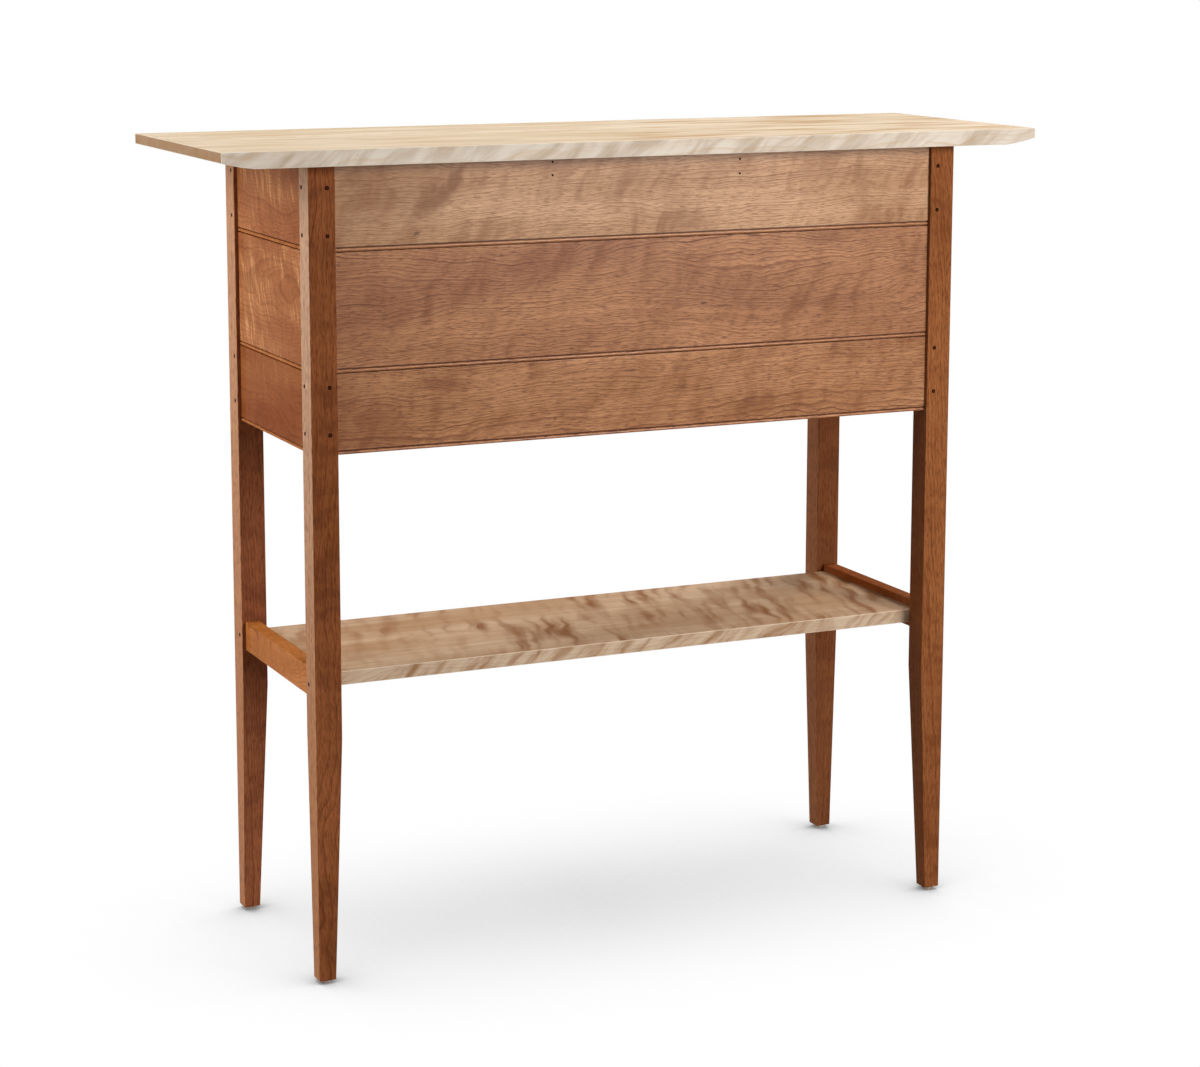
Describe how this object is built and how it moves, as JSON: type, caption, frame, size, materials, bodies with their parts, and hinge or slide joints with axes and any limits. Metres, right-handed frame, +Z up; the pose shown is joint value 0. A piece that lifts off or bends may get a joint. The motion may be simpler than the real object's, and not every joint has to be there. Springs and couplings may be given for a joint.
{
  "type": "sideboard",
  "caption": "Tall narrow sideboard on tapered legs, with a beadboard cherry case holding drawers, a figured pale top with under-bevelled ends, and an open lower shelf.",
  "frame": {"origin": "on the floor under the middle of the top", "axes": "+X along the length, +Y out of the drawer side (the pictured panelled back faces -Y), +Z up"},
  "size_m": [1.144, 0.376, 1.0631],
  "materials": {
    "cherry": "satin oiled cherry",
    "figured_birch": "satin clear finish on curly birch",
    "maple": "plain sanded maple",
    "glide_plastic": "moulded"
  },
  "bodies": {
    "case": {"back_board_lower": "cherry", "back_board_middle": "cherry", "back_board_upper": "cherry", "divider_left": "cherry", "divider_right": "cherry", "drawer_left_stop": "maple", "drawer_middle_stop": "maple", "drawer_right_stop": "maple", "front_rail_bottom": "cherry", "front_rail_top": "cherry", "glide_back_left": "glide_plastic", "glide_back_right": "glide_plastic", "glide_front_left": "glide_plastic", "glide_front_right": "glide_plastic", "guide_end_left": "maple", "guide_end_right": "maple", "guide_left": "maple", "guide_right": "maple", "kicker_end_left": "maple", "kicker_end_right": "maple", "kicker_left": "maple", "kicker_right": "maple", "left_board_lower": "cherry", "left_board_middle": "cherry", "left_board_upper": "cherry", "leg_back_left": "cherry", "leg_back_right": "cherry", "leg_front_left": "cherry", "leg_front_right": "cherry", "right_board_lower": "cherry", "right_board_middle": "cherry", "right_board_upper": "cherry", "runner_end_left": "maple", "runner_end_right": "maple", "runner_left": "maple", "runner_right": "maple", "shelf": "figured_birch", "stretcher_left": "cherry", "stretcher_right": "cherry", "top": "figured_birch"},
    "drawer_left": {"drawer_left_back": "maple", "drawer_left_bottom": "maple", "drawer_left_front": "cherry", "drawer_left_knob": "cherry", "drawer_left_side_left": "maple", "drawer_left_side_right": "maple"},
    "drawer_middle": {"drawer_middle_back": "maple", "drawer_middle_bottom": "maple", "drawer_middle_front": "cherry", "drawer_middle_knob": "cherry", "drawer_middle_side_left": "maple", "drawer_middle_side_right": "maple"},
    "drawer_right": {"drawer_right_back": "maple", "drawer_right_bottom": "maple", "drawer_right_front": "cherry", "drawer_right_knob": "cherry", "drawer_right_side_left": "maple", "drawer_right_side_right": "maple"}
  },
  "joints": [
    {"name": "drawer_left_slide", "type": "slide", "parent": "case", "child": "drawer_left", "axis": [0, 1, 0], "range_m": [0, 0.22]},
    {"name": "drawer_middle_slide", "type": "slide", "parent": "case", "child": "drawer_middle", "axis": [0, 1, 0], "range_m": [0, 0.22]},
    {"name": "drawer_right_slide", "type": "slide", "parent": "case", "child": "drawer_right", "axis": [0, 1, 0], "range_m": [0, 0.22]}
  ]
}
